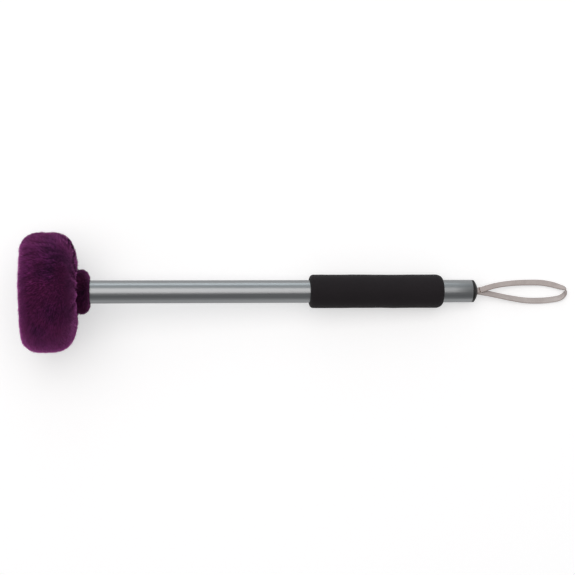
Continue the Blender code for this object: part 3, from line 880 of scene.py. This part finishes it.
def swollen(plain, along, out, angle):
    """How far the stuffing pushes the skin out, at each point."""
    push = lumpy(plain, LUMPS)
    behind = ramp(along, SOFT_REAR_ALONG, BULGES_OVER)
    belt = np.exp(-((out * np.sin(angle) + BELT_BELOW) / BELT_WIDE) ** 2)
    push += (BELT_HIGH[0] + BELT_HIGH[1] * far_side(angle)) * belt * behind
    for middle, middle_out, high in SHOULDERS:
        aside = turn_from(angle, middle) / SHOULDER_WIDE[0]
        push += high * np.exp(-aside ** 2 - ((out - middle_out) / SHOULDER_WIDE[1]) ** 2) * behind
    return push + SKEW_HIGH * np.cos(angle) * (1 - ramp(along, 0, SKEW_OVER)) * out / SOFT_R


def in_fold(tips):
    """Which strands end in the fold behind the rim, where its shade is painted."""
    world = to_world(tips)
    scale = CAMERA_FOCAL / (CAMERA_AT[2] - world[:, 2])
    across = PICTURE / 2 + (world[:, 0] - CAMERA_AT[0]) * scale
    down = PICTURE / 2 - (world[:, 1] - CAMERA_AT[1]) * scale
    fold_across, fold_down = np.array(FOLD).T
    middle = np.interp(down, fold_down, fold_across)
    inside = (down > fold_down[0]) & (down < fold_down[-1])
    return inside & (np.abs(across - middle) < FOLD_WIDE)


def lay_of_nap(outline_way, angle, round_way, points):
    """Direction in which the pile lies: the cloth's straight nap, carried over the rim."""
    waver, cell, seed = NAP_WAVER
    turn = angle - NAP_ANGLE + waver * noise(points / cell, seed).reshape(angle.shape)
    return -(outline_way * np.cos(turn)[..., None] - round_way * np.sin(turn)[..., None])


def surface_ways(points):
    """Unit directions down the outline and round the axis, and the outward normal, on a grid."""
    down = unit(np.gradient(points, axis=0))
    around = unit(np.roll(points, -1, axis=1) - np.roll(points, 1, axis=1))
    return down, around, unit(np.cross(around, down))


def cover_looks(along, out, angle, gathers):
    """What make_pile asks for, over the head's cover."""
    away = far_side(angle)
    edge, far_edge = rim_share(angle, out), rim_share(angle + pi, out)
    behind = ramp(along, SOFT_REAR_ALONG, BEHIND_SHADE[1]) * (1 - FAR_LESS[0] * away)
    # Painted shade in the gathers, behind and on the rim at +Y, and painted light on the rim at -Y.
    shaded = (-GATHER_SHADE[0] * ramp(gathers, 0, GATHER_SHADE[1]) - BEHIND_SHADE[0] * behind
              - RIM_SHADE[0] * edge + RIM_SHADE[1] * far_edge)
    least, near, off = STROKES
    towards = np.cos(angle)
    contrast = least + near * np.clip(towards, 0, 1) - off * ramp(towards, *STROKES_EDGE)
    # Where the duller copy goes: painted shade behind and on the rim at +Y.
    duller = np.maximum(ramp(along, *BEHIND_DULL) * (1 - FAR_LESS[1] * away), edge)
    duller = duller * (1 - LIP_BRIGHT[0] * ramp(-gathers, 0, LIP_BRIGHT[1]))
    return {"shaded": shaded, "contrast": contrast, "duller": duller, "sunk": gathers,
            "folded": ramp(along, SOFT_REAR_ALONG, BULGES_OVER)}


def make_cover(fleece, piles):
    outside = rounded_outline(SOFT_R, SOFT_FRONT_ROUND, SOFT_REAR_ROUND, SOFT_REAR_ALONG, PILE_DEEP)
    last = outside[-1][0]
    outside = evenly(outside + [(last + past, out) for past, out in NECK_FALL], SKIN_SPACING)
    count = len(outside)
    inside = head_outline(COVER_THICK)[::-1]
    neck = [(SOFT_NECK_END, NECK_R), (SOFT_NECK_END, BORE_R), (inside[0][0], BORE_R)]
    hidden = evenly(neck + inside, HIDDEN_SPACING)
    along, out, angle = ring_grid(np.concatenate([outside, hidden]), HEAD_SEGMENTS)
    plain = turned_points(along, out, angle)
    down, around, normal = surface_ways(plain)
    normal[0] = (-1, 0, 0)
    flat = plain.reshape(-1, 3)
    lay = lay_of_nap(down, angle, around, flat)
    nap = nap_tone(flat, lay.reshape(-1, 3)).reshape(out.shape)
    gathers = creased(along, out, angle)
    push = swollen(plain, along, out, angle) + nap * NAP_HIGH - gathers
    push[0] = push[0].mean()
    shown = np.zeros((len(along), 1))
    shown[:count, 0] = ramp(count - 1 - np.arange(count), 0, EASE_ROWS)
    points = plain + normal * (push * shown)[..., None]
    moved = shown * np.clip(out / SHIFT_FULL_OUT, SHIFT_LEAST, 1)
    points[..., 0] += (SOFT_SHIFT[0] + SOFT_LEAN * out * np.sin(angle)) * moved
    points[..., 1] += SOFT_SHIFT[1] * moved
    points = press_flat(points, HEAD_PRESS_SOFT)
    looks = cover_looks(along, out, angle, gathers)
    # The tone holds the nap's strokes and the painted shade and light.
    values = {"tip": np.zeros_like(nap), "tone": nap * looks["contrast"] + looks["shaded"]}
    add_turned("fleece_cover", "head_cover", points, fleece,
               closed_rows=False, values=values)
    kept = slice(0, count - EASE_ROWS - 2)
    looks = {key: grid[kept] for key, grid in looks.items()}
    make_pile("head_pile", points[kept], plain[kept], looks, HEAD_PILE, piles)


def rim_share(angle, out):
    """1 on the part of the head's edge that is at angle 0, falling to 0 round from it."""
    return ramp(np.cos(angle), *RIM_FROM) * ramp(out, *RIM_OUT)


def scattered(points, count, rng):
    """Random places on a grid surface, even by area: the four corners' numbers and their shares."""
    after = np.roll(points, -1, axis=1)
    diagonals = after[1:] - points[:-1], points[1:] - after[:-1]
    area = np.linalg.norm(np.cross(*diagonals), axis=-1).ravel()
    chosen = rng.choice(len(area), count, p=area / area.sum())
    row, column = np.divmod(chosen, points.shape[1])
    after = (column + 1) % points.shape[1]
    s, t = rng.random(count), rng.random(count)
    corners = ((row, column), (row, after), (row + 1, after), (row + 1, column))
    shares = ((1 - s) * (1 - t), s * (1 - t), s * t, (1 - s) * t)
    return corners, shares


def nap_tone(points, lay):
    """Light and dark of the pile, in fine strokes along its lay and some broader ones."""
    return sum(weight * streaks(points, lay, cell, reach, seed)
               for weight, cell, reach, seed in NAP_STROKES)


def make_pile(name, points, rest, looks, size, materials):
    """Tapering strands that stand on a grid surface and lie over with the nap, in small tufts.

    rest is the surface before it was pushed about. looks holds a grid each for how dark the pile
    is (on the head, painted shade and light), how strong its strokes are, the share of it that is
    duller, how deep it is sunk in a gather, and where the fold may be. The materials are for the
    plain pile, the duller copy and the sunk one, both of which paint shade.
    """
    count, length = size
    rng = np.random.default_rng(PILE_SEED)
    down, around, normal = surface_ways(points)
    angle = np.tile(np.linspace(0, 2 * pi, points.shape[1], endpoint=False), (len(points), 1))
    lay = lay_of_nap(down, angle, around, points.reshape(-1, 3))
    corners, shares = scattered(points, count, rng)

    def mixed(grid):
        return sum(grid[corner] * share[:, None] for corner, share in zip(corners, shares))

    root, up, way = mixed(points), unit(mixed(normal)), mixed(lay)
    way = unit(way - up * np.einsum("ij,ij->i", way, up)[:, None])
    side = np.cross(up, way)
    looks = {key: mixed(grid[..., None])[:, 0] for key, grid in looks.items()}
    tone = looks["shaded"] + looks["contrast"] * nap_tone(mixed(rest), way)
    swirl = rng.normal(0, SWIRL, count)[:, None]
    way = unit(way * np.cos(swirl) + side * np.sin(swirl))
    plain_tone = np.clip(tone, -MOST_TONE, MOST_TONE)
    by_tone, at_random = LONG_SPREAD
    half = 0.5 * length * (1 + by_tone * plain_tone + rng.normal(0, at_random, count))[:, None]
    lean = np.radians(LEAN[0] + rng.normal(0, LEAN[1], count) - LEAN[2] * plain_tone)[:, None]
    low, high = lean * LEAN_BENDS[0], lean * LEAN_BENDS[1]
    middle = root + half * (up * np.cos(low) + way * np.sin(low))
    end = middle + half * (up * np.cos(high) + way * np.sin(high))
    tuft = tuft_tips(root, end, rng, count // TUFT_OF)
    end = end + (tuft - end) * TUFT_PULL[1]
    middle = middle + (tuft - end) * TUFT_PULL[0]
    root = root - up * ROOT_SINK
    wide = STRAND_WIDE[0] * (1 + rng.normal(0, STRAND_WIDE[1], count))[:, None]
    # The duller copy paints shade where the looks ask for it; the dark strokes take it too.
    likely, from_contrast = DULL_STROKES
    stroke = np.clip(-likely * tone, 0, 1) * np.clip(looks["contrast"] - from_contrast, 0, 1)
    kind = (rng.random(count) < np.maximum(looks["duller"], stroke)).astype(int)
    # Painted shade: strands deep in a gather or in the fold take the near-black pile.
    kind[(looks["sunk"] > SUNK_FROM) | (in_fold(end) & (looks["folded"] > 0))] = 2
    strands = (root, middle, end, wide, tone, side, up)
    number = 0
    for chosen_kind, material in enumerate(materials):
        chosen = np.flatnonzero(kind == chosen_kind)
        order = np.argsort(np.arctan2(root[chosen, 2], root[chosen, 1]), kind="stable")
        for part in np.array_split(chosen[order], -(-len(chosen) // MOST_STRANDS)):
            number += 1
            mesh = strand_mesh(f"{name}_{number}", *(values[part] for values in strands))
            add_piece(mesh.name, mesh, material, smooth=False, matrix=AXIS)


def tuft_tips(root, end, rng, count):
    """For each strand, where the tip of its tuft is. Strands near one another share a tuft."""
    chosen = rng.choice(len(root), count, replace=False)
    tree = KDTree(count)
    for index, strand in enumerate(chosen):
        tree.insert(end[strand], index)
    tree.balance()
    nearest = np.array([tree.find(point)[1] for point in end])
    return end[chosen[nearest]]


def strand_mesh(name, root, middle, end, wide, tone, side, up):
    """Three-sided strands, each with its own cell in a map, so that a baked colour stays on it."""
    count = len(root)
    knee, knee_wide = STRAND_KNEE
    other = np.cross(unit(middle - root), side)
    vertices = np.empty((count, 7, 3))
    normals = np.repeat(up[:, None], 7, axis=1)
    for corner in range(3):
        turn = 2 * pi * corner / 3
        offset = side * cos(turn) + other * sin(turn)
        normals[:, (corner, 3 + corner)] += ROUND_SHADE * offset[:, None]
        vertices[:, corner] = root + offset * wide
        vertices[:, 3 + corner] = middle + offset * wide * knee_wide
    vertices[:, 6] = end
    vertices = press_strands(vertices)
    start = (np.arange(count) * 7)[:, None]
    quads = np.array([(0, 1, 4, 3), (1, 2, 5, 4), (2, 0, 3, 5)])
    tips = np.array([(3, 4, 6), (4, 5, 6), (5, 3, 6), (0, 2, 1)])
    loops = np.concatenate([start + quads.ravel(), start + tips.ravel()], axis=1).ravel()
    sizes = np.tile([4, 4, 4, 3, 3, 3, 3], count)
    mesh = bpy.data.meshes.new(name)
    mesh.vertices.add(count * 7)
    mesh.vertices.foreach_set("co", vertices.ravel())
    mesh.loops.add(len(loops))
    mesh.loops.foreach_set("vertex_index", loops.astype(np.int32))
    mesh.polygons.add(len(sizes))
    starts = np.concatenate([[0], np.cumsum(sizes)[:-1]])
    mesh.polygons.foreach_set("loop_start", starts.astype(np.int32))
    mesh.update(calc_edges=True)
    height = np.tile([0.0, 0.0, 0.0, knee, knee, knee, 1.0], count)
    store(mesh, {"tip": height, "tone": np.repeat(tone, 7)})
    cells = int(np.ceil(sqrt(count)))
    corner_map = [(0.1, 0.1), (0.9, 0.1), (0.9, 0.5), (0.1, 0.5)] * 3
    corner_map += [(0.1, 0.5), (0.9, 0.5), (0.5, 0.9)] * 3 + [(0.1, 0.1), (0.9, 0.1), (0.5, 0.15)]
    row, column = np.divmod(np.arange(count), cells)
    places = (np.array(corner_map)[None] + np.stack([column, row], axis=1)[:, None]) / cells
    mesh.uv_layers.new(name="OFBake").data.foreach_set("uv", places.ravel().astype(np.float32))
    mesh.shade_smooth()
    mesh.normals_split_custom_set_from_vertices(unit(normals).reshape(-1, 3).tolist())
    return mesh


def press_strands(vertices):
    """Keeps the strands on the floor, each at a height of its own, so that none share a plane."""
    world = to_world(vertices.reshape(-1, 3))
    least, rise, below = STRAND_FLOOR
    lowest = least + rise * np.maximum(world[:, 2] + below, 0)
    world[:, 2] = np.maximum(world[:, 2], lowest)
    return to_mallet(world).reshape(vertices.shape)


def make_collar(fleece, pile_fleece):
    seat = NECK_R + GAP
    groove = CORD_R + GAP
    start, end = SOFT_COLLAR
    skin_r = COLLAR_R - COLLAR_PILE_DEEP
    front = COLLAR_FRONT_ROUND
    rear_long, rear_deep = COLLAR_REAR_ROUND
    lip = SOFT_NECK_END + GAP
    outside = evenly(
        [(start, seat)]
        + arc((start + front, skin_r - front), (front, front), 180, 90, 8)
        + arc((end - rear_long, skin_r - rear_deep), (rear_long, rear_deep), 90, 0, 16)
        + [COLLAR_LIP, (COLLAR_LIP[0], BORE_R)], COLLAR_SPACING)
    hidden = [(lip, BORE_R), (lip, seat), (CORD_ALONG + groove, seat),
              (CORD_ALONG + groove, seat + 2 * groove), (CORD_ALONG - groove, seat + 2 * groove),
              (CORD_ALONG - groove, seat)]
    count = len(outside)
    along, out, angle = ring_grid(np.concatenate([outside, hidden]), COLLAR_SEGMENTS)
    plain = turned_points(along, out, angle)
    normal = surface_ways(plain)[2]
    push = lumpy(plain, [COLLAR_LUMPS]) * ramp(out, seat, COLLAR_LUMPS_OVER)
    push[count:] = 0
    points = plain + normal * push[..., None]
    tone = lumpy(plain, [COLLAR_TONE])
    values = {"tip": 0 * tone, "tone": tone}
    add_turned("neck_collar", "neck_band", points, fleece, values=values)
    kept = slice(2, count - 2)
    looks = {key: 0 * tone[kept] for key in ("contrast", "duller", "sunk", "folded")}
    looks["shaded"] = tone[kept]
    make_pile("neck_pile", points[kept], plain[kept], looks, COLLAR_PILE, (pile_fleece,))


# Soft pieces inside the head

def soft_ring(name, outline, material, node, seed, rough):
    """A ring of padding from its outline, with hollows up to about the given depth."""
    profile = evenly(outline + [outline[0]], PAD_SPACING)[:-1]
    plain = turned_points(*ring_grid(profile, PAD_SEGMENTS))
    push = sum(np.abs(lumpy(plain, [(cell, share * rough, seed + index)]))
               for index, (cell, share) in enumerate(PAD_LUMPS))
    points = plain - surface_ways(plain)[2] * push[..., None]
    add_turned(node, name, points, material)


def make_insides(batting, felt, cord):
    step = COVER_THICK + GAP
    front_face = FRONT_BULGE + step
    rim = [point for point in head_outline(step) if point[1] > FELT_R + GAP]
    rear_reach = REAR_CORNER_R - step
    sink = FELT_R + GAP - (HEAD_R - REAR_CORNER_R)
    rear = REAR_CORNER_ALONG + sqrt(rear_reach ** 2 - sink ** 2)
    outline = [(front_face, FELT_R + GAP)] + rim + [(rear, FELT_R + GAP)]
    soft_ring("padding_roll", outline, batting, "padding_ring", 41, 0.0004)
    pad_end = CORE_START - GAP
    disc = [(front_face, WAD_HOLE_R), (front_face, FELT_R), (pad_end, FELT_R),
            (pad_end, WAD_HOLE_R)]
    soft_ring("front_wad", disc, batting, "front_pad", 43, 0.0003)
    start = CORE_END + GAP
    end = REAR_CORNER_ALONG + rear_reach
    wad = [(start, BORE_R), (start, FELT_R), (rear, FELT_R), (end, HEAD_R - REAR_CORNER_R),
           (end, BORE_R)]
    soft_ring("rear_wad", wad, batting, "rear_pad", 45, 0.0003)
    inner = CORE_R + GAP
    band = [(CORE_START, inner), (CORE_START, FELT_R), (CORE_END, FELT_R), (CORE_END, inner)]
    soft_ring("felt_winding", band, felt, "felt_band", 47, 0.0002)
    make_neck_cord(cord)


def make_neck_cord(cord):
    """A cord of two twisted plies drawn tight round the neck."""
    angles = [np.linspace(0, 2 * pi, count, endpoint=False) for count in CORD_SEGMENTS]
    turn, corner = np.meshgrid(*angles, indexing="ij")
    plies = np.abs(np.cos(corner + CORD_TURNS * turn))
    size = CORD_R * (CORD_WAIST + (1 - CORD_WAIST) * plies)
    out = NECK_R + GAP + CORD_R + size * np.cos(corner)
    points = turned_points(CORD_ALONG + size * np.sin(corner), out, turn)
    add_turned("neck_cord", "drawn_cord", points, cord)


def dress(nodes, material):
    """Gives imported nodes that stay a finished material."""
    for name in nodes:
        for slot in frame["nodes"][name].material_slots:
            slot.material = material


# Floor, light and world

def make_floor():
    tree = new_material("floor_white")
    paper = tree.noise(350.0, 4.0)
    shade = tree.colours(paper, (0.3, 0.69, 0.69, 0.69), (0.7, 0.71, 0.71, 0.71))
    rays = tree.add("LightPath").node.outputs
    seen = tree.math("MAXIMUM", rays["Is Camera Ray"], rays["Is Glossy Ray"])
    seen = tree.math("MAXIMUM", seen, rays["Is Transmission Ray"])
    material = tree.done(Base_Color=shade, Roughness=0.9, Specular_IOR_Level=0.0,
                         Emission_Color=(1, 1, 1, 1),
                         Emission_Strength=tree.math("MULTIPLY", seen, FLOOR_LIFT))
    mesh = bpy.data.meshes.new("floor")
    corners = [(x * FLOOR_HALF, y * FLOOR_HALF, 0) for x, y in ((-1, -1), (1, -1), (1, 1), (-1, 1))]
    mesh.from_pydata(corners, [], [(0, 1, 2, 3)])
    mesh.materials.append(material)
    link("floor", mesh)


def add_panel(name, place, target, size, radiance, colour):
    """A soft rectangular lamp of a given brightness, aimed at a point."""
    data = bpy.data.lights.new(name, "AREA")
    data.shape = "RECTANGLE"
    data.size, data.size_y = size
    data.energy = radiance * pi * size[0] * size[1]
    data.color = colour
    lamp = link(name, data)
    lamp.location = place
    aim = Vector(target) - Vector(place)
    lamp.rotation_euler = aim.to_track_quat("-Z", "Y").to_euler()
    lamp.visible_camera = False


def make_world():
    """A studio's walls: bright on the window side, +Y, darker across from it, plain at the ends."""
    world = bpy.data.worlds.new("studio")
    bpy.context.scene.world = world
    tree = Tree(world, "Background")
    way = tree.add("SeparateXYZ", {0: tree.add("TexCoord", output="Generated")}).node.outputs
    walls, ends = (tree.colours(tree.spread(way[axis], -1, 1), *stops)
                   for axis, stops in (("Y", WALLS), ("X", END_WALLS)))
    aside = tree.math("ABSOLUTE", tree.math("SUBTRACT", way["X"], WALL_MIDDLE))
    tree.done(Color=tree.blended(tree.spread(aside, *WALL_FADE), walls, ends))


make_camera()
leather = leather_material()
steel = metal_material("steel_turned", (0.42, 0.43, 0.45), (0.60, 0.61, 0.63), 0.28)
brass = metal_material("brass_turned", (0.60, 0.41, 0.16), (0.78, 0.57, 0.26), 0.25)
wood = wood_material()
waxed = fibrous_material("waxed_cord_twist", (0.42, 0.36, 0.26), (0.66, 0.60, 0.48), 900.0)
thread = fibrous_material("brown_thread", (0.085, 0.036, 0.015), (0.15, 0.068, 0.030), 900.0, 0.0)
make_strap(leather, thread)
make_shaft(aluminium_material())
make_grip(foam_material())
make_cap(rubber_material())
purple, purple_pile, dark, dark_pile, shade_copy_pile, crease_shade_fleece = (
    fleece_material(*fleece) for fleece in FLEECES)
make_cover(purple, (purple_pile, shade_copy_pile, crease_shade_fleece))
make_collar(dark, dark_pile)
make_insides(
    fibrous_material("batting_wool", (0.58, 0.57, 0.53), (0.78, 0.77, 0.73), 420.0),
    fibrous_material("grey_felt_matted", (0.33, 0.31, 0.29), (0.50, 0.48, 0.45), 700.0),
    waxed,
)
dress(("head_core", "shaft_plug"), wood)
dress(("weight_ring", "clamp_washer", "lock_washer", "head_bolt", "cross_pin", "strap_washer"),
      steel)
dress(("threaded_insert",), brass)
make_floor()
make_world()
for lamp in LAMPS:
    add_panel(*lamp)
bpy.context.scene.view_settings.view_transform = "Standard"
